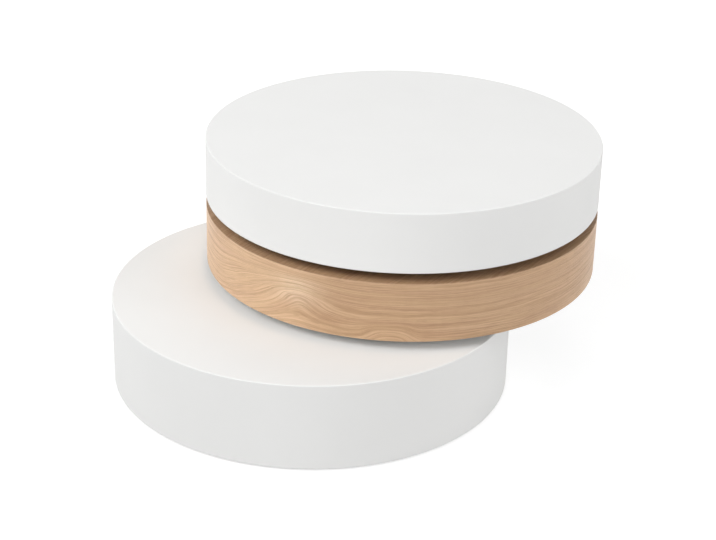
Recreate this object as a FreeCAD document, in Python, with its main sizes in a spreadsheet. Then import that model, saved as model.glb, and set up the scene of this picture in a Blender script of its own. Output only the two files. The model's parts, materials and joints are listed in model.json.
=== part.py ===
"""Round swivel coffee table: three drums that fan out on one off-centre upright axis.

The origin is on the floor, on the swivel axis. +Z is up, the base drum lies towards -Y, and the middle and
top drums are swung out from it by the open angle. Every piece is drawn with the swivel axis as its Z axis.
"""

import FreeCAD, Part
import os
from collections import namedtuple

import Sketcher

# Driving sizes in millimetres, the open angle in degrees
SIZES = {
    # Drums
    "drum_diameter": 700,
    "pivot_offset": 141,
    "open_angle": 90,
    "base_height": 155,
    "middle_height": 105,
    "top_height": 106,
    "deck_thickness": 15,
    "bottom_thickness": 12,
    "rim_thickness": 12,
    "edge_radius": 2,
    "panel_clearance": 0.3,
    "veneer_thickness": 0.8,
    # Framing inside each drum
    "block_margin": 5,
    "block_head_room": 25,
    "rib_thickness": 16,
    "rib_clearance": 0.2,
    "cross_rib_offset": 110,
    "glue_block_count": 6,
    "glue_block_length": 60,
    "glue_block_depth": 24,
    "glue_block_height": 30,
    # Countersunk wood screws
    "screw_diameter": 5,
    "screw_head_diameter": 10,
    "screw_tip": 6,
    "screw_clearance": 0.1,
    "panel_screw_grip": 20,
    "swivel_screw_grip": 10,
    # Glides under the base
    "glide_count": 6,
    "glide_inset": 42,
    "glide_diameter": 28,
    "glide_height": 4,
    "glide_chamfer": 1,
    "glide_pin_diameter": 4,
    "glide_pin_length": 9,
    # Swivel bearings
    "plate_diameter": 190,
    "plate_thickness": 6,
    "race_gap": 6,
    "race_inset": 33,
    "race_clearance": 0.2,
    "ball_diameter": 9,
    "ball_count": 18,
    "cage_width": 16,
    "cage_thickness": 2,
    "cage_clearance": 0.3,
    "swivel_screw_count": 6,
    "swivel_screw_inset": 16,
    # Pivot bolts
    "shoulder_diameter": 16,
    "thread_diameter": 12,
    "thread_tail": 3,
    "thread_clearance": 0.1,
    "bolt_hole_clearance": 0.5,
    "bolt_head_diameter": 30,
    "bolt_head_height": 8,
    "bolt_head_clearance": 0.2,
    "bolt_recess_diameter": 50,
    "clamp_thickness": 30,
    "bush_wall": 3,
    "bush_running_clearance": 0.05,
    "bush_seat_clearance": 0.05,
    "bush_flange_diameter": 34,
    "bush_flange_thickness": 2,
    "thrust_washer_thickness": 2,
    "nut_washer_diameter": 36,
    "nut_washer_thickness": 2.5,
    "nut_across_flats": 19,
    "nut_height": 12,
}

# Expressions worked out from the driving sizes
DRUM_RADIUS = "Sizes.drum_diameter / 2"
SWIVEL_GAP = "(2 * Sizes.plate_thickness + Sizes.race_gap)"
BASE_FLOOR = "Sizes.glide_height"
BASE_TOP = f"({BASE_FLOOR} + Sizes.base_height)"
MIDDLE_FLOOR = f"({BASE_TOP} + {SWIVEL_GAP})"
MIDDLE_TOP = f"({MIDDLE_FLOOR} + Sizes.middle_height)"
TOP_FLOOR = f"({MIDDLE_TOP} + {SWIVEL_GAP})"
SHANK_RADIUS = "Sizes.screw_diameter / 2"
HEAD_RADIUS = "Sizes.screw_head_diameter / 2"
HEAD_DEPTH = f"({HEAD_RADIUS} - {SHANK_RADIUS})"
SCREW_HOLE_RADIUS = f"({SHANK_RADIUS} + Sizes.screw_clearance)"
SCREW_SINK_RADIUS = f"({HEAD_RADIUS} + Sizes.screw_clearance)"
BOLT_HOLE_RADIUS = "(Sizes.thread_diameter / 2 + Sizes.bolt_hole_clearance)"
BOLT_RECESS_RADIUS = "Sizes.bolt_recess_diameter / 2"
SHOULDER_RADIUS = "Sizes.shoulder_diameter / 2"
BUSH_BORE_RADIUS = f"({SHOULDER_RADIUS} + Sizes.bush_running_clearance)"
BUSH_RADIUS = f"({BUSH_BORE_RADIUS} + Sizes.bush_wall)"
BUSH_HOLE_RADIUS = f"({BUSH_RADIUS} + Sizes.bush_seat_clearance)"
BUSH_FLANGE_RADIUS = "Sizes.bush_flange_diameter / 2"
PLATE_RADIUS = "Sizes.plate_diameter / 2"
SWIVEL_SCREW_RADIUS = f"({PLATE_RADIUS} - Sizes.swivel_screw_inset)"
RACE_RADIUS = f"({PLATE_RADIUS} - Sizes.race_inset)"
GROOVE_RADIUS = "(Sizes.ball_diameter / 2 + Sizes.race_clearance)"
GLIDE_RING_RADIUS = f"({DRUM_RADIUS} - Sizes.glide_inset)"
HALF_BLOCK = f"({PLATE_RADIUS} + Sizes.block_margin)"

# A drum: its name, height, level of its underside, whether it is swung out, and its veneer's thickness
Drum = namedtuple("Drum", "name height floor swung skin")
BASE = Drum("base", "Sizes.base_height", BASE_FLOOR, False, "0")
MIDDLE = Drum("middle", "Sizes.middle_height", MIDDLE_FLOOR, True, "Sizes.veneer_thickness")
TOP = Drum("top", "Sizes.top_height", TOP_FLOOR, True, "0")

# Moves of a sketch's origin from the swivel axis to the drum's own axis, on each upright origin plane
DRUM_AXIS_SHIFT = {
    "XZ_Plane": {"z": "Sizes.pivot_offset"},
    "YZ_Plane": {"x": "-Sizes.pivot_offset"},
}

# Index numbers of a sketch's own axes, and of the start, end and centre of a line or circle in it
H_AXIS, V_AXIS = range(-1, -3, -1)
START, END, CENTRE = range(1, 4)

# Tolerance for finding an edge by its radius and level
EDGE_MATCH = 1e-6

doc = FreeCAD.newDocument("SwivelCoffeeTable")
sheet = doc.addObject("Spreadsheet::Sheet", "Sizes")
for row, (alias, value) in enumerate(SIZES.items(), start=1):
    sheet.set(f"A{row}", str(value))
    sheet.setAlias(f"A{row}", alias)
doc.recompute()

pieces = []


def evaluate(expression):
    """The present value of an expression."""
    return float(sheet.evalExpression(expression))


def new_piece(name, floor, swung):
    """An empty body with its name, its level and its turn about the swivel axis."""
    body = doc.addObject("PartDesign::Body", name)
    body.Label = name
    # The first turn of one degree only gives the rotation its upright axis; the expression sets the angle
    body.Placement = FreeCAD.Placement(FreeCAD.Vector(), FreeCAD.Rotation(FreeCAD.Vector(0, 0, 1), 1))
    body.setExpression("Placement.Base.z", floor)
    body.setExpression("Placement.Rotation.Angle", "Sizes.open_angle * 1deg" if swung else "0deg")
    pieces.append(body)
    return body


def origin_feature(body, role):
    """The body's own plane or axis with this role."""
    return next(feature for feature in body.Origin.OriginFeatures if feature.Role == role)


def new_sketch(body, plane, shift=None):
    """A sketch on one of the body's origin planes, shifted along its own axes."""
    sketch = body.newObject("Sketcher::SketchObject", body.Name + "_sketch")
    sketch.AttachmentSupport = [(origin_feature(body, plane), "")]
    sketch.MapMode = "FlatFace"
    for axis, distance in (shift or {}).items():
        sketch.setExpression(f"AttachmentOffset.Base.{axis}", distance)
    return sketch


def drum_sketch(body, plane):
    """A sketch whose origin is on the drum's own axis."""
    return new_sketch(body, plane, DRUM_AXIS_SHIFT[plane])


def fix_point(sketch, geometry, end, place):
    """Ties a point to the sketch's origin by two expressions."""
    for kind, axis, distance in (("DistanceX", V_AXIS, place[0]), ("DistanceY", H_AXIS, place[1])):
        if distance == "0":
            sketch.addConstraint(Sketcher.Constraint("PointOnObject", geometry, end, axis))
            continue
        tie = Sketcher.Constraint(kind, H_AXIS, START, geometry, end, evaluate(distance))
        index = sketch.addConstraint(tie)
        sketch.setExpression(f"Constraints[{index}]", distance)


def draw_outline(sketch, places):
    """A closed outline of straight lines through places given as expressions."""
    corners = [FreeCAD.Vector(evaluate(across), evaluate(up), 0) for across, up in places]
    following = corners[1:] + corners[:1]
    lines = [sketch.addGeometry(Part.LineSegment(a, b)) for a, b in zip(corners, following)]
    for line, next_line, place in zip(lines, lines[1:] + lines[:1], places):
        sketch.addConstraint(Sketcher.Constraint("Coincident", line, END, next_line, START))
        fix_point(sketch, line, START, place)


def draw_circle(sketch, place, radius):
    """A circle with its centre and radius given as expressions."""
    centre = FreeCAD.Vector(evaluate(place[0]), evaluate(place[1]), 0)
    circle = sketch.addGeometry(Part.Circle(centre, FreeCAD.Vector(0, 0, 1), evaluate(radius)))
    fix_point(sketch, circle, CENTRE, place)
    index = sketch.addConstraint(Sketcher.Constraint("Radius", circle, evaluate(radius)))
    sketch.setExpression(f"Constraints[{index}]", radius)


def draw_turning_axis(sketch, distance, levels):
    """An upright construction line to turn an outline about, away from the sketch's own axis."""
    ends = [FreeCAD.Vector(evaluate(distance), evaluate(level), 0) for level in levels]
    line = sketch.addGeometry(Part.LineSegment(*ends), True)
    for end, level in zip((START, END), levels):
        fix_point(sketch, line, end, (distance, level))


def turn(body, sketch, axis="V_Axis", cut=False):
    """A solid, or a cut, turned through a full circle."""
    kind = "PartDesign::Groove" if cut else "PartDesign::Revolution"
    feature = body.newObject(kind, body.Name + "_turned")
    feature.Profile = sketch
    feature.ReferenceAxis = (sketch, [axis])
    feature.Angle = 360
    return feature


def turn_about(body, sketch, distance, places, cut=False):
    """A solid, or a cut, turned about an upright line that stands at a distance from the sketch's axis."""
    draw_turning_axis(sketch, distance, (places[0][1], places[-1][1]))
    draw_outline(sketch, [(f"({distance} + {radius})", up) for radius, up in places])
    return turn(body, sketch, "Axis0", cut)


def pad(body, sketch, length, symmetric=False):
    """A sketch raised to a length, to one side or half to each side."""
    feature = body.newObject("PartDesign::Pad", body.Name + "_pad")
    feature.Profile = sketch
    feature.setExpression("Length", length)
    feature.SideType = "Symmetric" if symmetric else "One side"
    return feature


def bore(body, place, radius, depth=None, floor="0", downward=False):
    """A round hole from a level upward or downward, to a depth or right through."""
    sketch = new_sketch(body, "XY_Plane", {"z": floor})
    draw_circle(sketch, place, radius)
    feature = body.newObject("PartDesign::Pocket", body.Name + "_bore")
    feature.Profile = sketch
    feature.Reversed = not downward
    if depth:
        feature.setExpression("Length", depth)
    else:
        feature.Type = "ThroughAll"
    return feature


def repeat_around(body, features, axis, count):
    """Copies of features spaced evenly round an axis."""
    pattern = body.newObject("PartDesign::PolarPattern", body.Name + "_ring")
    pattern.Originals = features
    pattern.Axis = axis
    pattern.Angle = 360
    pattern.setExpression("Occurrences", count)
    body.Tip = pattern
    return pattern


def repeat_round_swivel(body, features, count):
    """Copies of features spaced evenly round the swivel axis."""
    return repeat_around(body, features, (origin_feature(body, "Z_Axis"), [""]), count)


def ease_outer_edge(body, feature, level):
    """Rounds the drum's outer edge at a level."""
    doc.recompute()
    radius = evaluate(DRUM_RADIUS)
    height = evaluate(level)
    names = []
    for number, edge in enumerate(feature.Shape.Edges, start=1):
        if not isinstance(edge.Curve, Part.Circle):
            continue
        is_outer = abs(edge.Curve.Radius - radius) < EDGE_MATCH
        if is_outer and abs(edge.Curve.Center.z - height) < EDGE_MATCH:
            names.append(f"Edge{number}")
    fillet = body.newObject("PartDesign::Fillet", body.Name + "_eased")
    fillet.Base = (feature, names)
    fillet.setExpression("Radius", "Sizes.edge_radius")


def carcass_radius(drum):
    """Outer radius of the rim and the deck, under any veneer."""
    return f"({DRUM_RADIUS} - {drum.skin})"


def inner_radius(drum):
    """Radius inside the rim."""
    return f"({carcass_radius(drum)} - Sizes.rim_thickness)"


def rim_height(drum):
    """Height of the rim, from the drum's underside to its deck."""
    return f"({drum.height} - {drum.skin} - Sizes.deck_thickness)"


def inner_height(drum):
    """Height of the space between the bottom panel and the deck."""
    return f"({rim_height(drum)} - Sizes.bottom_thickness)"


def level_in(drum, height):
    """A height above a drum's underside as a height above the floor."""
    return f"({drum.floor} + {height})"


def screw_outline(face, sign, length):
    """Half of a countersunk screw whose head is flush at a level; sign is the way its tip points."""
    neck = f"({face} {sign} {HEAD_DEPTH})"
    shoulder = f"({face} {sign} ({length} - Sizes.screw_tip))"
    point = f"({face} {sign} {length})"
    return [("0", face), (HEAD_RADIUS, face), (SHANK_RADIUS, neck), (SHANK_RADIUS, shoulder), ("0", point)]


def sink_outline(face, sign, back):
    """Half of a countersunk hole from a level to the far side of a plate."""
    neck = f"({face} {sign} {HEAD_DEPTH})"
    return [
        ("0", face),
        (SCREW_SINK_RADIUS, face),
        (SCREW_HOLE_RADIUS, neck),
        (SCREW_HOLE_RADIUS, back),
        ("0", back),
    ]


def make_rim(drum):
    """Bent rim: the drum's side wall."""
    body = new_piece(f"{drum.name}_rim", drum.floor, drum.swung)
    sketch = drum_sketch(body, "XZ_Plane")
    inside, outside, height = inner_radius(drum), carcass_radius(drum), rim_height(drum)
    draw_outline(sketch, [(inside, "0"), (outside, "0"), (outside, height), (inside, height)])
    ring = turn(body, sketch)
    if drum.skin == "0":
        ease_outer_edge(body, ring, "0")


def cut_swivel_seat(body):
    """Holes through a panel for the pivot bolt and the screws of the swivel that stands on it."""
    bore(body, ("0", "0"), BOLT_HOLE_RADIUS)
    hole = bore(body, (SWIVEL_SCREW_RADIUS, "0"), SCREW_HOLE_RADIUS)
    repeat_round_swivel(body, [hole], "Sizes.swivel_screw_count")


def make_deck(drum, carries_swivel):
    """Top panel of a drum, over the full width of its rim."""
    body = new_piece(f"{drum.name}_deck", level_in(drum, rim_height(drum)), drum.swung)
    sketch = drum_sketch(body, "XZ_Plane")
    edge, height = carcass_radius(drum), "Sizes.deck_thickness"
    draw_outline(sketch, [("0", "0"), (edge, "0"), (edge, height), ("0", height)])
    disc = turn(body, sketch)
    if drum.skin == "0":
        ease_outer_edge(body, disc, height)
    if carries_swivel:
        cut_swivel_seat(body)


def glue_block_face(drum):
    """Distance from the drum's axis to the outer face of a glue block, whose corners reach the rim."""
    return f"(sqrt({inner_radius(drum)}^2 - (Sizes.glue_block_length / 2)^2) - Sizes.rib_clearance)"


def panel_screw_distance(drum):
    """Distance from the drum's axis to its panel screws, in the middle of the glue blocks."""
    return f"({glue_block_face(drum)} - Sizes.glue_block_depth / 2)"


def make_bottom_panel(drum, rides_on_swivel):
    """Bottom panel let into the rim, with its screw holes and the recess over a pivot bolt."""
    body = new_piece(f"{drum.name}_bottom_panel", drum.floor, drum.swung)
    edge, height = f"({inner_radius(drum)} - Sizes.panel_clearance)", "Sizes.bottom_thickness"
    sketch = drum_sketch(body, "XZ_Plane")
    draw_outline(sketch, [("0", "0"), (edge, "0"), (edge, height), ("0", height)])
    turn(body, sketch)
    hole_sketch = drum_sketch(body, "XZ_Plane")
    distance = panel_screw_distance(drum)
    hole = turn_about(body, hole_sketch, distance, sink_outline("0", "+", height), cut=True)
    repeat_around(body, [hole], (hole_sketch, ["V_Axis"]), "Sizes.glue_block_count")
    if rides_on_swivel:
        bore(body, ("0", "0"), BOLT_RECESS_RADIUS)
        pilot = bore(body, (SWIVEL_SCREW_RADIUS, "0"), SCREW_HOLE_RADIUS)
        repeat_round_swivel(body, [pilot], "Sizes.swivel_screw_count")
    else:
        cut_glide_holes(body)


def make_bearing_block(drum, carries_swivel, rides_on_swivel):
    """Solid block on the swivel axis, between the bottom panel and the deck."""
    body = new_piece(f"{drum.name}_bearing_block", level_in(drum, "Sizes.bottom_thickness"), drum.swung)
    height, side = inner_height(drum), f"(2 * {HALF_BLOCK})"
    sketch = new_sketch(body, "XY_Plane", {"x": f"-{HALF_BLOCK}", "y": f"-{HALF_BLOCK}"})
    draw_outline(sketch, [("0", "0"), (side, "0"), (side, side), ("0", side)])
    pad(body, sketch, height)
    pilot_depth = "(Sizes.swivel_screw_grip + Sizes.screw_diameter)"
    pilot_place = (SWIVEL_SCREW_RADIUS, "0")
    if carries_swivel:
        bore(body, ("0", "0"), BOLT_HOLE_RADIUS)
        bore(body, ("0", "0"), BOLT_RECESS_RADIUS, depth=f"({height} - Sizes.clamp_thickness)")
        pilot = bore(body, pilot_place, SCREW_HOLE_RADIUS, pilot_depth, floor=height, downward=True)
        repeat_round_swivel(body, [pilot], "Sizes.swivel_screw_count")
    else:
        bore(body, ("0", "0"), BOLT_RECESS_RADIUS, depth="Sizes.block_head_room")
    if rides_on_swivel:
        pilot = bore(body, pilot_place, SCREW_HOLE_RADIUS, pilot_depth)
        repeat_round_swivel(body, [pilot], "Sizes.swivel_screw_count")


def rib_reach(drum, sideways):
    """How far a rib reaches from the middle of a chord to the rim, at a distance from the drum's axis."""
    corner = f"({sideways} + Sizes.rib_thickness / 2)"
    return f"(sqrt({inner_radius(drum)}^2 - {corner}^2) - Sizes.rib_clearance)"


def pad_board(body, corner, width, depth, height):
    """A straight board, from one corner in plan."""
    sketch = new_sketch(body, "XY_Plane", {"x": corner[0], "y": corner[1]})
    draw_outline(sketch, [("0", "0"), (width, "0"), (width, depth), ("0", depth)])
    return pad(body, sketch, height)


def cut_lap(body, corner, side, floor, height):
    """The open half of a half-lap joint: a square slot across a rib, from a level upward."""
    sketch = new_sketch(body, "XY_Plane", {"x": corner[0], "y": corner[1], "z": floor})
    draw_outline(sketch, [("0", "0"), (side, "0"), (side, side), ("0", side)])
    slot = body.newObject("PartDesign::Pocket", body.Name + "_lap")
    slot.Profile = sketch
    slot.Reversed = True
    slot.setExpression("Length", height)


def make_ribs(drum):
    """Ribs on edge: a spine to the far side, a cross rib half-lapped with it, and two side ribs."""
    floor, height = level_in(drum, "Sizes.bottom_thickness"), inner_height(drum)
    board, half_board = "Sizes.rib_thickness", "Sizes.rib_thickness / 2"
    half_height = f"({height} / 2)"
    cross_middle = "(Sizes.pivot_offset + Sizes.cross_rib_offset)"
    lap_side = f"({board} + 2 * Sizes.rib_clearance)"
    lap_corner = (f"-{lap_side} / 2", f"-{cross_middle} - {lap_side} / 2")

    spine = new_piece(f"{drum.name}_spine_rib", floor, drum.swung)
    spine_end = f"(Sizes.pivot_offset + {rib_reach(drum, '0')})"
    pad_board(spine, (f"-{half_board}", f"-{spine_end}"), board, f"({spine_end} - {HALF_BLOCK})", height)
    cut_lap(spine, lap_corner, lap_side, half_height, half_height)

    cross = new_piece(f"{drum.name}_cross_rib", floor, drum.swung)
    cross_reach = rib_reach(drum, "Sizes.cross_rib_offset")
    cross_edge = f"-{cross_middle} - {half_board}"
    pad_board(cross, (f"-{cross_reach}", cross_edge), f"(2 * {cross_reach})", board, height)
    cut_lap(cross, lap_corner, lap_side, "0", half_height)

    side = new_piece(f"{drum.name}_side_ribs", floor, drum.swung)
    side_length = f"({rib_reach(drum, 'Sizes.pivot_offset')} - {HALF_BLOCK})"
    rib = pad_board(side, (HALF_BLOCK, f"-{half_board}"), side_length, board, height)
    plane = origin_feature(side, "YZ_Plane")
    mirror = side.newObject("PartDesign::Mirrored", side.Name + "_pair")
    mirror.Originals = [rib]
    mirror.MirrorPlane = (plane, [""])
    side.Tip = mirror


def make_glue_blocks(drum):
    """Blocks glued inside the rim, which the bottom panel is screwed to."""
    body = new_piece(f"{drum.name}_glue_blocks", level_in(drum, "Sizes.bottom_thickness"), drum.swung)
    outside, height = glue_block_face(drum), "Sizes.glue_block_height"
    inside = f"({outside} - Sizes.glue_block_depth)"
    sketch = drum_sketch(body, "XZ_Plane")
    draw_outline(sketch, [(inside, "0"), (outside, "0"), (outside, height), (inside, height)])
    block = pad(body, sketch, "Sizes.glue_block_length", symmetric=True)
    pilot_depth = "(Sizes.panel_screw_grip + Sizes.screw_diameter)"
    pilot = [("0", "0"), (SCREW_HOLE_RADIUS, "0"), (SCREW_HOLE_RADIUS, pilot_depth), ("0", pilot_depth)]
    hole = turn_about(body, drum_sketch(body, "XZ_Plane"), panel_screw_distance(drum), pilot, cut=True)
    repeat_around(body, [block, hole], (sketch, ["V_Axis"]), "Sizes.glue_block_count")


def make_panel_screws(drum):
    """Countersunk screws through the bottom panel into the glue blocks."""
    body = new_piece(f"{drum.name}_panel_screws", drum.floor, drum.swung)
    sketch = drum_sketch(body, "XZ_Plane")
    length = "(Sizes.bottom_thickness + Sizes.panel_screw_grip)"
    screw = turn_about(body, sketch, panel_screw_distance(drum), screw_outline("0", "+", length))
    repeat_around(body, [screw], (sketch, ["V_Axis"]), "Sizes.glue_block_count")


def make_veneers(drum):
    """Oak veneer: a band round the rim, and a sheet over the deck and the band's upper edge."""
    band = new_piece(f"{drum.name}_rim_veneer", drum.floor, drum.swung)
    inside, outside, height = carcass_radius(drum), DRUM_RADIUS, f"({drum.height} - {drum.skin})"
    sketch = drum_sketch(band, "XZ_Plane")
    draw_outline(sketch, [(inside, "0"), (outside, "0"), (outside, height), (inside, height)])
    turn(band, sketch)

    sheet_veneer = new_piece(f"{drum.name}_deck_veneer", level_in(drum, height), drum.swung)
    sketch = drum_sketch(sheet_veneer, "XZ_Plane")
    draw_outline(sketch, [("0", "0"), (outside, "0"), (outside, drum.skin), ("0", drum.skin)])
    turn(sheet_veneer, sketch)
    cut_swivel_seat(sheet_veneer)


def glide_outline(pin_radius):
    """Half of a glide: a chamfered button with a pin on top."""
    edge, top = "Sizes.glide_diameter / 2", "Sizes.glide_height"
    tip = f"({top} + Sizes.glide_pin_length)"
    return [
        ("0", "0"),
        (f"({edge} - Sizes.glide_chamfer)", "0"),
        (edge, "Sizes.glide_chamfer"),
        (edge, top),
        (pin_radius, top),
        (pin_radius, tip),
        ("0", tip),
    ]


def cut_glide_holes(body):
    """Blind holes in the base's bottom panel for the pins of the glides."""
    depth = "(Sizes.glide_pin_length + Sizes.screw_clearance)"
    radius = "(Sizes.glide_pin_diameter / 2 + Sizes.screw_clearance)"
    pin = [("0", "0"), (radius, "0"), (radius, depth), ("0", depth)]
    sketch = drum_sketch(body, "YZ_Plane")
    hole = turn_about(body, sketch, GLIDE_RING_RADIUS, pin, cut=True)
    repeat_around(body, [hole], (sketch, ["V_Axis"]), "Sizes.glide_count")
    bore(body, ("0", "0"), radius, depth)


def make_glides():
    """Glides under the base: a ring of them near the rim, and one under the bearing block."""
    body = new_piece("base_glides", "0", False)
    outline = glide_outline("Sizes.glide_pin_diameter / 2")
    sketch = drum_sketch(body, "YZ_Plane")
    glide = turn_about(body, sketch, GLIDE_RING_RADIUS, outline)
    repeat_around(body, [glide], (sketch, ["V_Axis"]), "Sizes.glide_count")
    middle_sketch = new_sketch(body, "XZ_Plane")
    draw_outline(middle_sketch, outline)
    body.Tip = turn(body, middle_sketch)


def make_ring(name, floor, swung, inside, outside, height):
    """A plain washer on the swivel axis."""
    body = new_piece(name, floor, swung)
    sketch = new_sketch(body, "XZ_Plane")
    draw_outline(sketch, [(inside, "0"), (outside, "0"), (outside, height), (inside, height)])
    turn(body, sketch)


def make_race_plate(name, floor, swung, levels, race_level, bore_radius, sign):
    """Round bearing plate with a ball groove and countersunk screw holes in its inner face."""
    body = new_piece(name, floor, swung)
    inner_face, outer_face = levels
    sketch = new_sketch(body, "XZ_Plane")
    inner_corners = [(bore_radius, inner_face), (PLATE_RADIUS, inner_face)]
    outer_corners = [(PLATE_RADIUS, outer_face), (bore_radius, outer_face)]
    draw_outline(sketch, inner_corners + outer_corners)
    turn(body, sketch)
    groove_sketch = new_sketch(body, "XZ_Plane")
    draw_circle(groove_sketch, (RACE_RADIUS, race_level), GROOVE_RADIUS)
    turn(body, groove_sketch, cut=True)
    hole_sketch = new_sketch(body, "XZ_Plane")
    outline = sink_outline(inner_face, sign, outer_face)
    hole = turn_about(body, hole_sketch, SWIVEL_SCREW_RADIUS, outline, cut=True)
    repeat_round_swivel(body, [hole], "Sizes.swivel_screw_count")


def make_plate_screws(name, floor, swung, face, sign, length):
    """Ring of countersunk screws that hold a race plate to its drum."""
    body = new_piece(name, floor, swung)
    outline = screw_outline(face, sign, length)
    screw = turn_about(body, new_sketch(body, "XZ_Plane"), SWIVEL_SCREW_RADIUS, outline)
    repeat_round_swivel(body, [screw], "Sizes.swivel_screw_count")


def make_cage(name, race_floor):
    """Ball cage: a flat ring with a round hole for each ball."""
    body = new_piece(f"{name}_ball_cage", f"({race_floor} - Sizes.cage_thickness / 2)", False)
    sketch = new_sketch(body, "XY_Plane")
    draw_circle(sketch, ("0", "0"), f"({RACE_RADIUS} - Sizes.cage_width / 2)")
    draw_circle(sketch, ("0", "0"), f"({RACE_RADIUS} + Sizes.cage_width / 2)")
    pad(body, sketch, "Sizes.cage_thickness")
    hole = bore(body, (RACE_RADIUS, "0"), "(Sizes.ball_diameter / 2 + Sizes.cage_clearance)")
    repeat_round_swivel(body, [hole], "Sizes.ball_count")


def make_balls(name, race_floor):
    """Bearing balls in a ring."""
    body = new_piece(f"{name}_balls", race_floor, False)
    ball = body.newObject("PartDesign::AdditiveSphere", body.Name + "_ball")
    ball.AttachmentSupport = [(origin_feature(body, "XY_Plane"), "")]
    ball.MapMode = "FlatFace"
    ball.setExpression("AttachmentOffset.Base.x", RACE_RADIUS)
    ball.setExpression("Radius", "Sizes.ball_diameter / 2")
    repeat_round_swivel(body, [ball], "Sizes.ball_count")


def make_bolt(name, floor, swung, thread_length):
    """Shoulder bolt: its shoulder stands on the bottom plate, and its head holds the drum above down."""
    body = new_piece(f"{name}_pivot_bolt", floor, swung)
    thread, shoulder, head = "Sizes.thread_diameter / 2", SHOULDER_RADIUS, "Sizes.bolt_head_diameter / 2"
    bush_length = "Sizes.plate_thickness + Sizes.bush_flange_thickness"
    running_length = f"(Sizes.race_gap + {bush_length} + Sizes.thrust_washer_thickness)"
    head_floor = f"({thread_length} + {running_length} + Sizes.bolt_head_clearance)"
    head_top = f"({head_floor} + Sizes.bolt_head_height)"
    sketch = new_sketch(body, "XZ_Plane")
    thread_corners = [("0", "0"), (thread, "0"), (thread, thread_length)]
    shoulder_corners = [(shoulder, thread_length), (shoulder, head_floor)]
    head_corners = [(head, head_floor), (head, head_top), ("0", head_top)]
    draw_outline(sketch, thread_corners + shoulder_corners + head_corners)
    turn(body, sketch)


def make_bush(name, floor, swung):
    """Flanged bush in the top plate, which runs on the bolt's shoulder."""
    body = new_piece(f"{name}_pivot_bush", floor, swung)
    flange_floor = "Sizes.plate_thickness"
    flange_top = f"({flange_floor} + Sizes.bush_flange_thickness)"
    sketch = new_sketch(body, "XZ_Plane")
    inner_corners = [(BUSH_BORE_RADIUS, "0"), (BUSH_RADIUS, "0"), (BUSH_RADIUS, flange_floor)]
    flange_corners = [(BUSH_FLANGE_RADIUS, flange_floor), (BUSH_FLANGE_RADIUS, flange_top)]
    draw_outline(sketch, inner_corners + flange_corners + [(BUSH_BORE_RADIUS, flange_top)])
    turn(body, sketch)


def make_nut(name, floor, swung):
    """Hexagonal lock nut."""
    body = new_piece(f"{name}_pivot_nut", floor, swung)
    flats = "Sizes.nut_across_flats"
    edge = f"({flats} / sqrt(3))"
    half_flats = f"({flats} / 2)"
    sketch = new_sketch(body, "XY_Plane", {"x": f"-{edge}", "y": f"-{half_flats}"})
    near_side = [(f"({edge} / 2)", "0"), (f"({edge} * 3 / 2)", "0"), (f"({edge} * 2)", half_flats)]
    far_side = [(f"({edge} * 3 / 2)", flats), (f"({edge} / 2)", flats), ("0", half_flats)]
    draw_outline(sketch, near_side + far_side)
    pad(body, sketch, "Sizes.nut_height")
    bore(body, ("0", "0"), "(Sizes.thread_diameter / 2 + Sizes.thread_clearance)")


def make_swivel(name, lower, upper):
    """One swivel: two race plates with caged balls between them, and the bolt that holds them together."""
    seat = level_in(lower, lower.height)
    plate, half_gap = "Sizes.plate_thickness", "(Sizes.race_gap / 2)"
    race_floor = f"({seat} + {plate} + {half_gap})"
    top_plate_floor = f"({race_floor} + {half_gap})"

    bottom_levels, bottom_race = (plate, "0"), f"({plate} + {half_gap})"
    bottom_plate = f"{name}_bottom_plate"
    make_race_plate(bottom_plate, seat, lower.swung, bottom_levels, bottom_race, BOLT_HOLE_RADIUS, "-")
    top_levels = (half_gap, f"({half_gap} + {plate})")
    make_race_plate(f"{name}_top_plate", race_floor, upper.swung, top_levels, "0", BUSH_HOLE_RADIUS, "+")

    panelling = f"({lower.skin} + Sizes.deck_thickness)"
    down_length = f"({plate} + {panelling} + Sizes.swivel_screw_grip)"
    down_floor = f"({seat} + {plate} - {down_length})"
    make_plate_screws(f"{name}_bottom_screws", down_floor, lower.swung, down_length, "-", down_length)
    up_length = f"({plate} + Sizes.bottom_thickness + Sizes.swivel_screw_grip)"
    make_plate_screws(f"{name}_top_screws", top_plate_floor, upper.swung, "0", "+", up_length)

    make_cage(name, race_floor)
    make_balls(name, race_floor)

    washer_top = f"({seat} - {panelling} - Sizes.clamp_thickness)"
    nut_top = f"({washer_top} - Sizes.nut_washer_thickness)"
    nut_floor = f"({nut_top} - Sizes.nut_height)"
    bolt_floor = f"({nut_floor} - Sizes.thread_tail)"
    make_bolt(name, bolt_floor, lower.swung, f"({seat} + {plate} - {bolt_floor})")
    washer_radius, washer_height = "Sizes.nut_washer_diameter / 2", "Sizes.nut_washer_thickness"
    make_ring(f"{name}_nut_washer", nut_top, lower.swung, BOLT_HOLE_RADIUS, washer_radius, washer_height)
    make_nut(name, nut_floor, lower.swung)

    make_bush(name, top_plate_floor, upper.swung)
    thrust_floor = level_in(upper, "Sizes.bush_flange_thickness")
    thrust_height = "Sizes.thrust_washer_thickness"
    thrust_name = f"{name}_thrust_washer"
    make_ring(thrust_name, thrust_floor, upper.swung, BUSH_BORE_RADIUS, BUSH_FLANGE_RADIUS, thrust_height)


def make_drum(drum, carries_swivel, rides_on_swivel):
    """All the pieces of one closed drum."""
    make_rim(drum)
    make_deck(drum, carries_swivel)
    make_bottom_panel(drum, rides_on_swivel)
    make_bearing_block(drum, carries_swivel, rides_on_swivel)
    make_ribs(drum)
    make_glue_blocks(drum)
    make_panel_screws(drum)


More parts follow.
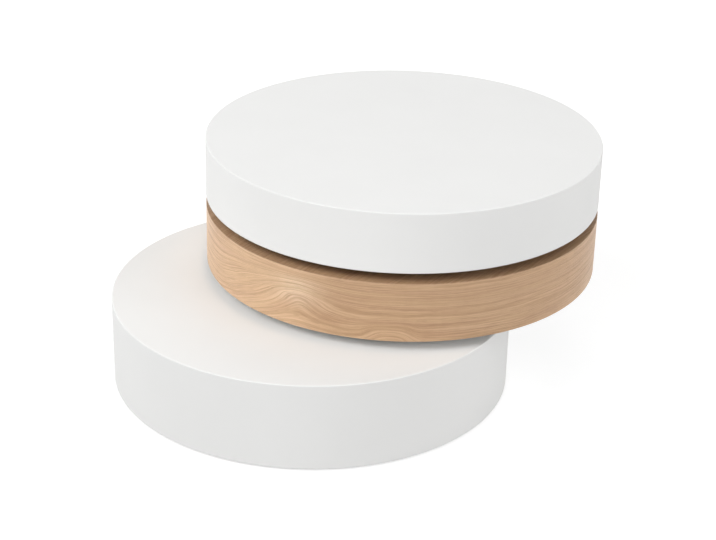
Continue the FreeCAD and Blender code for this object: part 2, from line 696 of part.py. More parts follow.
def check_document():
    """Stops if any object of the document failed, or any piece has no sound solid."""
    for item in doc.Objects:
        if "Invalid" in item.State or "Error" in item.State:
            raise RuntimeError(f"{item.Name} failed to build: {item.State}")
    for piece in pieces:
        if piece.Shape.isNull() or not piece.Shape.isValid() or not piece.Shape.Solids:
            raise RuntimeError(f"{piece.Label} has no sound solid")


make_drum(BASE, carries_swivel=True, rides_on_swivel=False)
make_glides()
make_drum(MIDDLE, carries_swivel=True, rides_on_swivel=True)
make_veneers(MIDDLE)
make_drum(TOP, carries_swivel=False, rides_on_swivel=True)
make_swivel("lower_swivel", BASE, MIDDLE)
make_swivel("upper_swivel", MIDDLE, TOP)

doc.recompute()
check_document()

os.makedirs("parts", exist_ok=True)
for piece in pieces:
    piece.Shape.exportStep(f"parts/{piece.Label}.step")
    print(f"{piece.Label}: {len(piece.Shape.Solids)} solids, {piece.Shape.Volume / 1000:.1f} cm3")
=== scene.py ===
"""Looks of a round swivel coffee table: its lacquer, veneer, board and metal, and the studio round it."""

import json
import math
from collections import namedtuple

import bmesh
import bpy
from mathutils import Matrix, Vector


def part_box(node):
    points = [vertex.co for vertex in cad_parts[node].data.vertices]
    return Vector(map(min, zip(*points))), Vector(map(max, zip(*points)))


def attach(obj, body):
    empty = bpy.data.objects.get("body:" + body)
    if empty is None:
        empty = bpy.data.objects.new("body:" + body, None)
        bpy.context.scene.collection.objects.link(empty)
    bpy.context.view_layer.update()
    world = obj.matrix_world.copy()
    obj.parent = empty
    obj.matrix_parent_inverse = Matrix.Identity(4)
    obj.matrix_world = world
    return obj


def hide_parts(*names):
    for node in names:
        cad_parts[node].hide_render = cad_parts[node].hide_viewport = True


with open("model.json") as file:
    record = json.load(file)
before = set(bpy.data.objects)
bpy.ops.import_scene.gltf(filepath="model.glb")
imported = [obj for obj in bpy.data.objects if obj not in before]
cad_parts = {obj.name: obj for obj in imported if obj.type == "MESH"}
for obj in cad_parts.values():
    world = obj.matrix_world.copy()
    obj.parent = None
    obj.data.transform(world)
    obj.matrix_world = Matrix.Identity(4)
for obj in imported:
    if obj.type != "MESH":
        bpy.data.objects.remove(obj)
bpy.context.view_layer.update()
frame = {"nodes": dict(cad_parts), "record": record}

# Fineness of the turned pieces
SEGMENTS = 288
HOLE_SEGMENTS = 32
ARC_STEPS = 6
SHARP_ANGLE = math.radians(35)

# Sizes of the turned pieces, in metres, and where the arc of an eased edge starts, in degrees
LACQUER_EASING = 0.002
VENEER_EASING = 0.0004
PANEL_CLEARANCE = 0.0003
FACING_UP = 90
FACING_OUT = 0
QUARTER_TURN = 90

# Holes in a deck under the bottom plate of a swivel, in metres, about the swivel axis at the origin
SWIVEL_AXIS = Vector((0, 0))
BOLT_HOLE_RADIUS = 0.0065
SCREW_HOLE_RADIUS = 0.0026
SCREW_INSET = 0.016
SCREW_COUNT = 6
DRILL_MARGIN = 0.0004
Seat = namedtuple("Seat", "plate first_screw")
LOWER_SEAT = Seat("lower_swivel_bottom_plate", first_screw=0.0)
UPPER_SEAT = Seat("upper_swivel_bottom_plate", first_screw=math.radians(90))

# Noise in the finishes: waves per metre, octaves, weight of the finer octaves, and where most of it lies
Noise = namedtuple("Noise", "scale detail roughness", defaults=(2, 0.5))
NOISE_RANGE = (0.3, 0.7)
NOISE_MIDDLE = 0.5

# White lacquer: colours as linear light, relief in metres
LACQUER_WHITE = (0.85, 0.85, 0.84)
LACQUER_SHADE = (0.838, 0.838, 0.828)
LACQUER_SPECULAR = 0.35
LACQUER_ROUGHNESS = (0.68, 0.78)
LACQUER_TONES = Noise(7)
LACQUER_SHEEN = Noise(26, detail=3)
ORANGE_PEEL = Noise(380)
ORANGE_PEEL_DEPTH = 0.00002

# Oak veneer: colours of its growth lines as linear light, factors on them, relief in metres
LINE_COLOURS = ((0.555, 0.355, 0.207), (0.660, 0.440, 0.270), (0.745, 0.515, 0.332))
LINE_STOPS = (0.35, 0.50, 0.65)
OAK_PLAIN = (1.0, 1.0, 1.0)
OAK_ROSY = (0.965, 0.925, 0.905)
OAK_YELLOW = (1.045, 1.045, 1.00)
OAK_PORE = (0.72, 0.66, 0.60)
OAK_BROWN = (0.80, 0.765, 0.73)
OAK_FIGURE = (1.15, 1.26, 1.39)
# Painted shade: a factor that darkens the whole deck sheet, so that the narrow gap under the top drum looks
# dark
DECK_PAINTED_SHADE = (0.68, 0.64, 0.61)
OAK_ROUGHNESS = (0.58, 0.46)
OAK_RELIEF = 0.00006
CLEAR_COAT = {"Coat_Weight": 0.3, "Coat_Roughness": 0.35}

# Grain of the oak: waves per metre along and across it
Layer = namedtuple("Layer", "along across detail")
GROWTH_LINES = Layer(along=4, across=360, detail=2)
LIVELINESS = Layer(along=9, across=55, detail=1)
STREAKS = Layer(along=14, across=900, detail=2)
PORES = Layer(along=42, across=3600, detail=1)
TONES = Layer(along=7, across=70, detail=2)
BAND_DRIFT = Layer(along=7, across=18, detail=2)
DECK_DRIFT = Layer(along=2.5, across=9, detail=2)
BAND_DRIFT_REACH = 0.012
DECK_DRIFT_REACH = 0.05
DECK_GRAIN_TURN = math.radians(27)
STREAK_SHARE = 0.35
PORE_RANGE = (0.34, 0.42)
CALM_STRENGTH = 0.8
LIVELY_STRENGTH = 2.4

# Figure of the oak band: angles round the drum in degrees, lengths along it, heights above its underside
Stretch = namedtuple("Stretch", "start end back_start back_end")
SLANT = Stretch(start=-152, end=-110, back_start=20, back_end=170)
SLANT_RISE = 0.060
SLANT_FULL_HEIGHT = 0.055
SLANT_FADED_HEIGHT = 0.100
BROWN = Stretch(start=-120, end=-99, back_start=60, back_end=150)
Swell = namedtuple("Swell", "angle left_width right_width power low_lift lift full_height faded_height")
CATHEDRAL = Swell(
    angle=-113,
    left_width=0.062,
    right_width=0.058,
    power=1.8,
    low_lift=0.004,
    lift=0.033,
    full_height=0.077,
    faded_height=0.105,
)
SMALL_ARCH = Swell(
    angle=-87,
    left_width=0.036,
    right_width=0.036,
    power=3,
    low_lift=0.024,
    lift=0.024,
    full_height=0.004,
    faded_height=0.045,
)
FIGURE_START = 0.025
FIGURE_FULL = 0.055
FIGURE_FADING = 0.082
FIGURE_END = 0.096
FIGURE_POWER = 2
FIGURE_STRENGTH = 2.6

# Fibreboard, raw or painted: colours as linear light, relief in metres
MDF_DARK = (0.20, 0.135, 0.085)
MDF_LIGHT = (0.31, 0.22, 0.14)
MDF_ROUGHNESS = 0.75
MDF_RELIEF = 0.00005
PAINT_DARK = (0.80, 0.80, 0.78)
PAINT_LIGHT = (0.84, 0.84, 0.83)
PAINT_ROUGHNESS = 0.8
PAINT_RELIEF = 0.00003
BOARD_CLUMPS = Noise(60, detail=4, roughness=0.7)
BOARD_FIBRES = Noise(900)
BOARD_NAP = Noise(1200)
BOARD_RANGE = (0.36, 0.64)
FIBRE_SHARE = 0.5

# Plywood: colours as linear light, thickness of a light and a dark ply together and relief in metres
PLY_DARK = (0.45, 0.30, 0.17)
PLY_LIGHT = (0.66, 0.50, 0.32)
PLY_ROUGHNESS = 0.7
PLY_RELIEF = 0.00004
PLY_PAIR = 0.003
PLY_EDGE = 0.4
PLY_SHARE = 0.6
PLY_FIBRES = Noise(500, detail=3)
PLY_RANGE = (0.15, 0.75)

# Metals and plastics, by slot: colours as linear light, mottles per metre, relief in metres
Mottle = namedtuple("Mottle", "dark light scale roughness relief metallic")
MOTTLES = {
    "zinc_steel": Mottle(
        dark=(0.50, 0.51, 0.53),
        light=(0.68, 0.69, 0.71),
        scale=140,
        roughness=(0.28, 0.42),
        relief=0.00002,
        metallic=1.0,
    ),
    "ball_steel": Mottle(
        dark=(0.58, 0.58, 0.60),
        light=(0.72, 0.72, 0.74),
        scale=200,
        roughness=(0.10, 0.18),
        relief=0.000004,
        metallic=1.0,
    ),
    "bronze": Mottle(
        dark=(0.48, 0.30, 0.13),
        light=(0.64, 0.43, 0.20),
        scale=160,
        roughness=(0.30, 0.45),
        relief=0.00001,
        metallic=1.0,
    ),
    "nylon": Mottle(
        dark=(0.66, 0.64, 0.57),
        light=(0.76, 0.75, 0.69),
        scale=120,
        roughness=(0.42, 0.55),
        relief=0.00002,
        metallic=0.0,
    ),
    "glide_plastic": Mottle(
        dark=(0.035, 0.035, 0.036),
        light=(0.060, 0.060, 0.062),
        scale=300,
        roughness=(0.45, 0.60),
        relief=0.00004,
        metallic=0.0,
    ),
}
MOTTLE_DETAIL = 3
MOTTLE_RANGE = (0.35, 0.65)
RELIEF_FINENESS = 6

# Camera, as found from the photograph's edges: metres and radians, its sensor in millimetres
PHOTO_WIDTH = 716
FOCAL_PIXELS = 1748.5
SENSOR_WIDTH = 36
CAMERA_AZIMUTH = math.radians(6.50)
CAMERA_ELEVATION = math.radians(25.39)
CAMERA_ROLL = math.radians(1.38)
CAMERA_DISTANCE = 3.062
CAMERA_TARGET = Vector((0.0805, -0.1356, 0.200))

# Studio: a floor and a room that the camera sees as white, and a faint light from all round
WHITE = (1.0, 1.0, 1.0)
ROOM_WHITE = 1.0
WORLD_LIGHT = 0.05
FLOOR_GREY = (0.44, 0.44, 0.44)
FLOOR_GLOW = 0.73
FLOOR_ROUGHNESS = 0.9
FLOOR_RADIUS = 6
FLOOR_LEVEL = 0

# Large soft lamps: azimuth and elevation in degrees, power in watts
LAMP_TARGET = Vector((0.05, -0.05, 0.2))
LAMP_DISTANCE = 8.0
LAMP_SIZE = 4.8
Lamp = namedtuple("Lamp", "azimuth elevation power")
LAMPS = {
    "left_front_lamp": Lamp(-50, 45, 222),
    "left_lamp": Lamp(-60, 30, 286),
    "front_lamp": Lamp(0, 45, 140),
    "right_low_lamp": Lamp(60, 15, 308),
    "right_lamp": Lamp(95, 42, 70),
    "back_lamp": Lamp(180, 50, 117),
    "back_left_low_lamp": Lamp(-135, 15, 118),
    "back_right_low_lamp": Lamp(135, 15, 90),
}


def radius_of(node):
    """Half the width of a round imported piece."""
    low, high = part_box(node)
    return (high.x - low.x) / 2


def add_object(name, data):
    """A new object in the scene."""
    item = bpy.data.objects.new(name, data)
    bpy.context.scene.collection.objects.link(item)
    return item


def circle(radius, height, count, centre, first_angle=0.0):
    """Points evenly spaced round an upright line."""
    angles = [first_angle + 2 * math.pi * number / count for number in range(count)]
    return [(centre.x + radius * math.cos(a), centre.y + radius * math.sin(a), height) for a in angles]


def join_rings(bm, first, second):
    """Quads between two rings of equally many vertices."""
    count = len(first)
    for number in range(count):
        following = (number + 1) % count
        bm.faces.new((first[number], first[following], second[following], second[number]))


def turn(bm, outline, centre, segments, hollow=False):
    """Turns an outline of (radius, height) corners about an upright line.

    A hollow outline closes on itself, and any other gets a disc at either end.
    """
    rings = []
    for radius, height in outline:
        rings.append([bm.verts.new(place) for place in circle(radius, height, segments, centre)])
    for first, second in zip(rings, rings[1:]):
        join_rings(bm, first, second)
    if hollow:
        join_rings(bm, rings[-1], rings[0])
    else:
        bm.faces.new(rings[0])
        bm.faces.new(rings[-1])


def finished_mesh(bm, name):
    """A mesh with outward faces, smooth except at sharp corners."""
    bmesh.ops.recalc_face_normals(bm, faces=bm.faces)
    mesh = bpy.data.meshes.new(name)
    bm.to_mesh(mesh)
    bm.free()
    mesh.shade_smooth()
    mesh.set_sharp_from_angle(angle=SHARP_ANGLE)
    return mesh


def turned_piece(name, outline, centre, hollow=False):
    """A piece turned on the drum's own axis."""
    bm = bmesh.new()
    turn(bm, outline, centre, SEGMENTS, hollow)
    return add_object(name, finished_mesh(bm, name))


def drill(piece, places, radius, levels):
    """Cuts upright round holes through a piece, between two levels."""
    bm = bmesh.new()
    for place in places:
        turn(bm, [(radius, level) for level in levels], place, HOLE_SEGMENTS)
    cutter = add_object("cutter", finished_mesh(bm, "cutter"))
    cut = piece.modifiers.new("holes", "BOOLEAN")
    cut.operation = "DIFFERENCE"
    cut.solver = "EXACT"
    cut.object = cutter
    drilled = piece.evaluated_get(bpy.context.evaluated_depsgraph_get())
    mesh = bpy.data.meshes.new_from_object(drilled)
    piece.modifiers.clear()
    piece.data = mesh
    bpy.data.objects.remove(cutter)
    mesh.set_sharp_from_angle(angle=SHARP_ANGLE)


def drill_seat(piece, seat, floor, top):
    """Holes for the pivot bolt and the plate screws of the swivel that stands on a deck."""
    low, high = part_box(seat.plate)
    screws = circle(high.x - SCREW_INSET, top, SCREW_COUNT, SWIVEL_AXIS, seat.first_screw)
    levels = (floor - DRILL_MARGIN, top + DRILL_MARGIN)
    drill(piece, [SWIVEL_AXIS], BOLT_HOLE_RADIUS, levels)
    drill(piece, [Vector(place) for place in screws], SCREW_HOLE_RADIUS, levels)


def eased_corner(radius, height, easing, first_angle):
    """A quarter circle of an outline about a (radius, height) centre, clockwise from an angle in degrees."""
    angles = [math.radians(first_angle - QUARTER_TURN * step / ARC_STEPS) for step in range(ARC_STEPS + 1)]
    return [(radius + easing * math.cos(a), height + easing * math.sin(a)) for a in angles]


def upper_edge(radius, top, easing):
    """The eased edge of an outline, from its top to its side."""
    return eased_corner(radius - easing, top - easing, easing, FACING_UP)


def lower_edge(radius, floor, easing):
    """The eased edge of an outline, from its side to its underside."""
    return eased_corner(radius - easing, floor + easing, easing, FACING_OUT)


class Drum:
    """Where a drum is: its axis, radii and levels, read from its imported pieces."""

    def __init__(self, name):
        rim_low, rim_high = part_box(f"{name}_rim")
        deck_low, deck_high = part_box(f"{name}_deck")
        self.name = name
        self.centre = Vector(((rim_low.x + rim_high.x) / 2, (rim_low.y + rim_high.y) / 2))
        self.radius = radius_of(f"{name}_rim")
        self.inner_radius = radius_of(f"{name}_bottom_panel") + PANEL_CLEARANCE
        self.floor = rim_low.z
        self.deck_floor = deck_low.z
        self.top = deck_high.z


def flatten_normals(piece):
    """Shades wide faces flat right up to their eased edges."""
    weighted = piece.modifiers.new("weighted_normals", "WEIGHTED_NORMAL")
    weighted.keep_sharp = True


def stand_in(piece, drum, slot, *nodes):
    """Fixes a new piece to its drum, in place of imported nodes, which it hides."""
    flatten_normals(piece)
    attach(piece, drum.name)
    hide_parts(*nodes)


def lacquered_shell(drum, seat=None):
    """Deck and rim of a white drum under one unbroken coat of lacquer."""
    outline = upper_edge(drum.radius, drum.top, LACQUER_EASING)
    outline += lower_edge(drum.radius, drum.floor, LACQUER_EASING)
    outline += [(drum.inner_radius, drum.floor), (drum.inner_radius, drum.deck_floor)]
    shell = turned_piece(f"{drum.name}_lacquered_shell", outline, drum.centre)
    if seat is not None:
        drill_seat(shell, seat, drum.deck_floor, drum.top)
    stand_in(shell, drum, "white_lacquer", f"{drum.name}_deck", f"{drum.name}_rim")
    return shell


def oak_band(drum):
    """Veneer bent round the rim of the oak drum."""
    low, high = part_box("middle_rim_veneer")
    outside = radius_of("middle_rim_veneer")
    outline = [(drum.radius, high.z), (outside, high.z)]
    outline += lower_edge(outside, low.z, VENEER_EASING)
    outline += [(drum.radius, low.z)]
    band = turned_piece("oak_rim_veneer", outline, drum.centre, hollow=True)
    stand_in(band, drum, "oak_veneer", "middle_rim_veneer")
    return band


def oak_sheet(drum):
    """Veneer sheet on the deck of the oak drum, over the band's upper edge."""
    low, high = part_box("middle_deck_veneer")
    outside = radius_of("middle_rim_veneer")
    outline = upper_edge(outside, high.z, VENEER_EASING) + [(outside, low.z)]
    sheet = turned_piece("oak_deck_veneer", outline, drum.centre)
    drill_seat(sheet, UPPER_SEAT, low.z, high.z)
    stand_in(sheet, drum, "oak_veneer", "middle_deck_veneer")
    return sheet


class Nodes:
    """A node tree, with short ways to add nodes to it."""

    def __init__(self, tree):
        self.nodes = tree.nodes
        self.links = tree.links

    def node(self, kind, inputs=(), **settings):
        """A new node: its settings, then numbers or links for its first sockets."""
        made = self.nodes.new(kind)
        for setting, value in settings.items():
            setattr(made, setting, value)
        for socket, value in zip(made.inputs, inputs):
            self.feed(socket, value)
        return made

    def feed(self, socket, value):
        """Links a socket to an output, or sets its number."""
        if isinstance(value, bpy.types.NodeSocket):
            self.links.new(value, socket)
        else:
            socket.default_value = value

    def math(self, operation, *values):
        """Arithmetic on numbers or outputs."""
        return self.node("ShaderNodeMath", values, operation=operation).outputs[0]

    def span(self, value, low, high, to_low=0.0, to_high=1.0, smooth=False):
        """A value moved from one range to another, held at its ends."""
        blend = "SMOOTHSTEP" if smooth else "LINEAR"
        made = self.node("ShaderNodeMapRange", [value, low, high, to_low, to_high], interpolation_type=blend)
        return made.outputs[0]

    def blend(self, first, second, share):
        """The first value, moved a share of the way to the second."""
        change = self.math("MULTIPLY", self.math("SUBTRACT", second, first), share)
        return self.math("ADD", first, change)

    def seen_directly(self):
        """1 for rays from the camera, or by way of a mirror or glass, and 0 for rays that carry light."""
        path = self.node("ShaderNodeLightPath").outputs
        reflected = self.math("MAXIMUM", path["Is Glossy Ray"], path["Is Transmission Ray"])
        return self.math("MAXIMUM", path["Is Camera Ray"], reflected)


class Finish(Nodes):
    """A Principled material that varies over its surface."""

    def __init__(self, name, **constants):
        self.material = bpy.data.materials.new(name)
        self.material.use_nodes = True
        super().__init__(self.material.node_tree)
        self.shader = self.nodes["Principled BSDF"]
        for socket, value in constants.items():
            self.shader.inputs[socket.replace("_", " ")].default_value = value

    def surface(self, socket, value):
        """Varies one of the shader's own sockets."""
        self.links.new(value, self.shader.inputs[socket])

    def place(self):
        """The place on the piece, in metres."""
        return self.node("ShaderNodeTexCoord").outputs["Object"]

    def axes(self, vector):
        """The three parts of a vector."""
        return self.node("ShaderNodeSeparateXYZ", [vector]).outputs

    def vector(self, x, y, z):
        """A vector from three parts."""
        return self.node("ShaderNodeCombineXYZ", [x, y, z]).outputs[0]

    def noise(self, vector, noise):
        """Soft noise from 0 to 1."""
        made = self.node("ShaderNodeTexNoise")
        self.links.new(vector, made.inputs["Vector"])
        made.inputs["Scale"].default_value = noise.scale
        made.inputs["Detail"].default_value = noise.detail
        made.inputs["Roughness"].default_value = noise.roughness
        return made.outputs[0]

    def ramp(self, value, *stops):
        """A colour from a value, through (position, colour) stops."""
        made = self.node("ShaderNodeValToRGB", [value])
        elements = made.color_ramp.elements
        while len(elements) < len(stops):
            elements.new(1.0)
        for element, (position, colour) in zip(elements, stops):
            element.position = position
            element.color = (*colour, 1.0)
        return made.outputs["Color"]

    def tint(self, value, first, second, low=0.0, high=1.0):
        """One colour up to a low value, another from a high one, and a blend of the two between."""
        return self.ramp(value, (low, first), (high, second))

    def multiply(self, first, second):
        """Two colours multiplied."""
        made = self.node("ShaderNodeVectorMath", [first, second], operation="MULTIPLY")
        return made.outputs[0]

    def bump(self, height, depth):
        """Relief on the surface, its full depth in metres."""
        made = self.node("ShaderNodeBump")
        made.inputs["Strength"].default_value = 1.0
        made.inputs["Distance"].default_value = depth
        self.links.new(height, made.inputs["Height"])
        self.surface("Normal", made.outputs["Normal"])


def white_lacquer():
    """Sprayed matt lacquer: near-white, its sheen slightly uneven, with a faint orange peel."""
    finish = Finish("white_lacquer", Specular_IOR_Level=LACQUER_SPECULAR)
    place = finish.place()
    tones = finish.noise(place, LACQUER_TONES)
    sheen = finish.noise(place, LACQUER_SHEEN)
    finish.surface("Base Color", finish.tint(tones, LACQUER_SHADE, LACQUER_WHITE, *NOISE_RANGE))
    finish.surface("Roughness", finish.span(sheen, *NOISE_RANGE, *LACQUER_ROUGHNESS))
    finish.bump(finish.noise(place, ORANGE_PEEL), ORANGE_PEEL_DEPTH)
    return finish.material


def grain(finish, along, across, layer):
    """Noise drawn out along the grain: along holds two slow coordinates, across runs over the lines."""
    slow = [finish.math("MULTIPLY", coordinate, layer.along) for coordinate in along]
    fast = finish.math("MULTIPLY", across, layer.across)
    return finish.noise(finish.vector(*slow, fast), Noise(1, layer.detail))


def oak(finish, along, across, figure=None):
    """The colour of clear-lacquered oak from its grain coordinates: growth lines, tones and pores.

    The lines stand out more where it is lively, and most where it has a figure.
    """
    streaks = grain(finish, along, across, STREAKS)
    lines = finish.blend(grain(finish, along, across, GROWTH_LINES), streaks, STREAK_SHARE)
    lively = grain(finish, along, across, LIVELINESS)
    strength = finish.span(lively, *NOISE_RANGE, CALM_STRENGTH, LIVELY_STRENGTH)
    if figure is not None:
        strength = finish.math("MULTIPLY", strength, finish.blend(1.0, FIGURE_STRENGTH, figure))
    colour = finish.ramp(finish.blend(NOISE_MIDDLE, lines, strength), *zip(LINE_STOPS, LINE_COLOURS))
    tones = grain(finish, along, across, TONES)
    colour = finish.multiply(colour, finish.tint(tones, OAK_ROSY, OAK_YELLOW, *NOISE_RANGE))
    between_pores = finish.span(grain(finish, along, across, PORES), *PORE_RANGE)
    colour = finish.multiply(colour, finish.tint(between_pores, OAK_PORE, OAK_PLAIN))
    finish.surface("Roughness", finish.span(streaks, *NOISE_RANGE, *OAK_ROUGHNESS))
    finish.bump(finish.math("ADD", between_pores, streaks), OAK_RELIEF)
    return colour


def there_and_back(finish, angle, stretch):
    """0 to 1 over one stretch of the way round the drum, and back to 0 over another."""
    start, end, back_start, back_end = [math.radians(place) for place in stretch]
    there = finish.span(angle, start, end, smooth=True)
    back = finish.span(angle, back_start, back_end, smooth=True)
    return finish.math("SUBTRACT", there, back)


def slant(finish, angle, height):
    """How far the grain lines have risen on their way round the drum: the less, the higher they are."""
    rise = finish.span(height, SLANT_FULL_HEIGHT, SLANT_FADED_HEIGHT, SLANT_RISE, 0.0, smooth=True)
    return finish.math("MULTIPLY", there_and_back(finish, angle, SLANT), rise)


def nearness(finish, angle, radius, swell):
    """1 at the middle of a swell, falling to 0 past its width on either side."""
    turned = finish.math("SUBTRACT", angle, math.radians(swell.angle))
    along = finish.math("MULTIPLY", turned, radius)
    on_right = finish.math("GREATER_THAN", along, 0.0)
    width = finish.span(on_right, 0.0, 1.0, swell.left_width, swell.right_width)
    distance = finish.math("ABSOLUTE", finish.math("DIVIDE", along, width))
    steepened = finish.math("POWER", distance, swell.power)
    return finish.math("EXPONENT", finish.math("MULTIPLY", steepened, -1.0))


def lift(finish, near, height, swell):
    """How far a swell lifts the grain lines: more and more up to its full height, and less above it."""
    rising = finish.span(height, 0.0, swell.full_height, swell.low_lift, swell.lift, smooth=True)
    fading = finish.span(height, swell.full_height, swell.faded_height, 1.0, 0.0, smooth=True)
    return finish.math("MULTIPLY", near, finish.math("MULTIPLY", rising, fading))


def figured(finish, near, height):
    """1 in the heart of the cathedral arch, falling to 0 beside, below and above it."""
    rising = finish.span(height, FIGURE_START, FIGURE_FULL, smooth=True)
    ending = finish.span(height, FIGURE_FADING, FIGURE_END, 1.0, 0.0, smooth=True)
    heart = finish.math("POWER", near, FIGURE_POWER)
    return finish.math("MULTIPLY", heart, finish.math("MULTIPLY", rising, ending))


def oak_band_finish(drum):
    """Oak whose grain runs round the drum, with a slant, a cathedral arch and a small arch in it."""
    finish = Finish("oak_rim_veneer", **CLEAR_COAT)
    x, y, z = finish.axes(finish.place())
    x = finish.math("SUBTRACT", x, drum.centre.x)
    y = finish.math("SUBTRACT", y, drum.centre.y)
    height = finish.math("SUBTRACT", z, drum.floor)
    angle = finish.math("ARCTAN2", y, x)
    near_cathedral = nearness(finish, angle, drum.radius, CATHEDRAL)
    near_small_arch = nearness(finish, angle, drum.radius, SMALL_ARCH)
    shifts = (
        slant(finish, angle, height),
        finish.math("MULTIPLY", grain(finish, (x, y), height, BAND_DRIFT), BAND_DRIFT_REACH),
        lift(finish, near_cathedral, height, CATHEDRAL),
        lift(finish, near_small_arch, height, SMALL_ARCH),
    )
    across = height
    for shift in shifts:
        across = finish.math("SUBTRACT", across, shift)
    figure = figured(finish, near_cathedral, height)
    colour = oak(finish, (x, y), across, figure)
    brown = there_and_back(finish, angle, BROWN)
    colour = finish.multiply(colour, finish.tint(brown, OAK_PLAIN, OAK_BROWN))
    colour = finish.multiply(colour, finish.tint(figure, OAK_PLAIN, OAK_FIGURE))
    finish.surface("Base Color", colour)
    return finish.material


def oak_sheet_finish():
    """Oak whose grain runs straight over the deck, darkened all over as painted shade so that the gap under
    the top drum looks dark.
    """
    finish = Finish("oak_deck_veneer", **CLEAR_COAT)
    turned = finish.node("ShaderNodeVectorRotate", [finish.place()], rotation_type="Z_AXIS")
    turned.inputs["Angle"].default_value = DECK_GRAIN_TURN
    x, y, z = finish.axes(turned.outputs[0])
    drift = finish.math("MULTIPLY", grain(finish, (y, z), x, DECK_DRIFT), DECK_DRIFT_REACH)
    colour = oak(finish, (y, z), finish.math("SUBTRACT", x, drift))
    # The deck's oak times a painted shade, for the gap under the top drum
    finish.surface("Base Color", finish.multiply(colour, DECK_PAINTED_SHADE))
    return finish.material


def fibreboard():
    """Sealed raw fibreboard: brown, with fine fibres and darker clumps."""
    finish = Finish("mdf", Roughness=MDF_ROUGHNESS)
    place = finish.place()
    clumps = finish.noise(place, BOARD_CLUMPS)
    fibres = finish.noise(place, BOARD_FIBRES)
    mixed = finish.blend(clumps, fibres, FIBRE_SHARE)
    finish.surface("Base Color", finish.tint(mixed, MDF_DARK, MDF_LIGHT, *BOARD_RANGE))
    finish.bump(finish.noise(place, BOARD_NAP), MDF_RELIEF)
    return finish.material


def painted_board():
    """Fibreboard under a thin coat of matt white paint, its fibres still felt through it."""
    finish = Finish("painted_mdf", Roughness=PAINT_ROUGHNESS)
    place = finish.place()
    clumps = finish.noise(place, BOARD_CLUMPS)
    finish.surface("Base Color", finish.tint(clumps, PAINT_DARK, PAINT_LIGHT, *BOARD_RANGE))
    finish.bump(finish.noise(place, BOARD_NAP), PAINT_RELIEF)
    return finish.material


def plywood():
    """Birch plywood: level plies, alternately light and dark, with short fibres."""
    finish = Finish("plywood", Roughness=PLY_ROUGHNESS)
    place = finish.place()
    height = finish.axes(place)["Z"]
    wave = finish.math("SINE", finish.math("MULTIPLY", height, 2 * math.pi / PLY_PAIR))
    plies = finish.span(wave, -PLY_EDGE, PLY_EDGE)
    fibres = finish.noise(place, PLY_FIBRES)
    mixed = finish.blend(fibres, plies, PLY_SHARE)
    finish.surface("Base Color", finish.tint(mixed, PLY_DARK, PLY_LIGHT, *PLY_RANGE))
    finish.bump(fibres, PLY_RELIEF)
    return finish.material


def mottled(name, mottle):
    """A finish whose colour, gloss and relief vary in soft mottles of one scale."""
    finish = Finish(name, Metallic=mottle.metallic)
    place = finish.place()
    tones = finish.noise(place, Noise(mottle.scale, MOTTLE_DETAIL))
    finish.surface("Base Color", finish.tint(tones, mottle.dark, mottle.light, *MOTTLE_RANGE))
    finish.surface("Roughness", finish.span(tones, *NOISE_RANGE, *mottle.roughness))
    finish.bump(finish.noise(place, Noise(RELIEF_FINENESS * mottle.scale)), mottle.relief)
    return finish.material


def slot_finishes(oak_drum):
    """A finish for each material slot of the record."""
    finishes = {slot: mottled(slot, mottle) for slot, mottle in MOTTLES.items()}
    finishes["white_lacquer"] = white_lacquer()
    finishes["oak_veneer"] = oak_band_finish(oak_drum)
    finishes["mdf"] = fibreboard()
    finishes["plywood"] = plywood()
    return finishes


def floor_finish():
    """Pale floor that shows white where nothing shades it, and keeps the shadow."""
    finish = Finish(
        "studio_floor",
        Base_Color=(*FLOOR_GREY, 1.0),
        Emission_Color=(*WHITE, 1.0),
        Roughness=FLOOR_ROUGHNESS,
        Specular_IOR_Level=0.0,
    )
    finish.surface("Emission Strength", finish.span(finish.seen_directly(), 0.0, 1.0, 0.0, FLOOR_GLOW))
    return finish.material


def dress(piece, material):
    """Puts one material on a piece."""
    piece.data.materials.clear()
    piece.data.materials.append(material)


def add_floor():
    """The pale studio floor."""
    bm = bmesh.new()
    bm.faces.new([bm.verts.new(place) for place in circle(FLOOR_RADIUS, FLOOR_LEVEL, SEGMENTS, SWIVEL_AXIS)])
    floor = add_object("studio_floor", finished_mesh(bm, "studio_floor"))
    dress(floor, floor_finish())


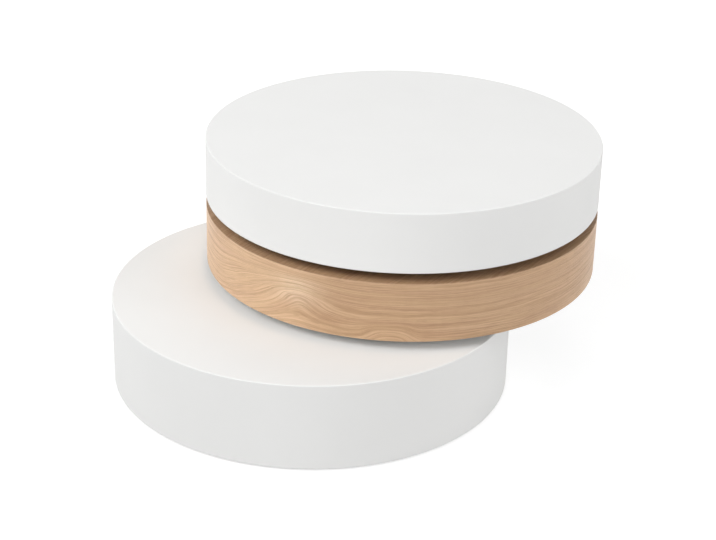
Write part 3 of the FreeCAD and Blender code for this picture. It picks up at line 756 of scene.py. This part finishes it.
def add_world():
    """Even light from all round, which shows as white behind the object."""
    world = bpy.data.worlds.new("studio")
    world.use_nodes = True
    bpy.context.scene.world = world
    studio = Nodes(world.node_tree)
    background = studio.nodes["Background"]
    background.inputs["Color"].default_value = (*WHITE, 1.0)
    strength = studio.span(studio.seen_directly(), 0.0, 1.0, WORLD_LIGHT, ROOM_WHITE)
    studio.links.new(strength, background.inputs["Strength"])


def direction(azimuth, elevation):
    """The way towards a place: azimuth 0 is the front, positive to the right."""
    level = math.cos(elevation)
    return Vector((math.sin(azimuth) * level, -math.cos(azimuth) * level, math.sin(elevation)))


def add_lamp(name, lamp):
    """A large soft square lamp, turned towards the table."""
    light = bpy.data.lights.new(name, "AREA")
    light.size = LAMP_SIZE
    light.energy = lamp.power
    item = add_object(name, light)
    away = direction(math.radians(lamp.azimuth), math.radians(lamp.elevation))
    item.location = LAMP_TARGET + LAMP_DISTANCE * away
    item.rotation_euler = away.to_track_quat("Z", "Y").to_euler()


def add_camera():
    """The photograph's view."""
    camera = bpy.data.cameras.new("camera")
    camera.sensor_width = SENSOR_WIDTH
    camera.lens = FOCAL_PIXELS * SENSOR_WIDTH / PHOTO_WIDTH
    item = add_object("camera", camera)
    turn_right = Matrix.Rotation(CAMERA_AZIMUTH, 4, "Z")
    tilt_down = Matrix.Rotation(math.pi / 2 - CAMERA_ELEVATION, 4, "X")
    roll = Matrix.Rotation(CAMERA_ROLL, 4, "Z")
    away = direction(CAMERA_AZIMUTH, CAMERA_ELEVATION)
    stand = Matrix.Translation(CAMERA_TARGET + CAMERA_DISTANCE * away)
    item.matrix_world = stand @ turn_right @ tilt_down @ roll
    bpy.context.scene.camera = item


base = Drum("base")
middle = Drum("middle")
top = Drum("top")
finishes = slot_finishes(middle)

for part in frame["record"]["subparts"]:
    dress(frame["nodes"][part["node"]], finishes[part["material_slot"]])
dress(lacquered_shell(base, LOWER_SEAT), finishes["white_lacquer"])
dress(lacquered_shell(top), finishes["white_lacquer"])
dress(frame["nodes"]["middle_bottom_panel"], painted_board())
dress(oak_band(middle), finishes["oak_veneer"])
dress(oak_sheet(middle), oak_sheet_finish())

add_floor()
add_world()
for name, lamp in LAMPS.items():
    add_lamp(name, lamp)
add_camera()
bpy.context.scene.view_settings.view_transform = "Standard"
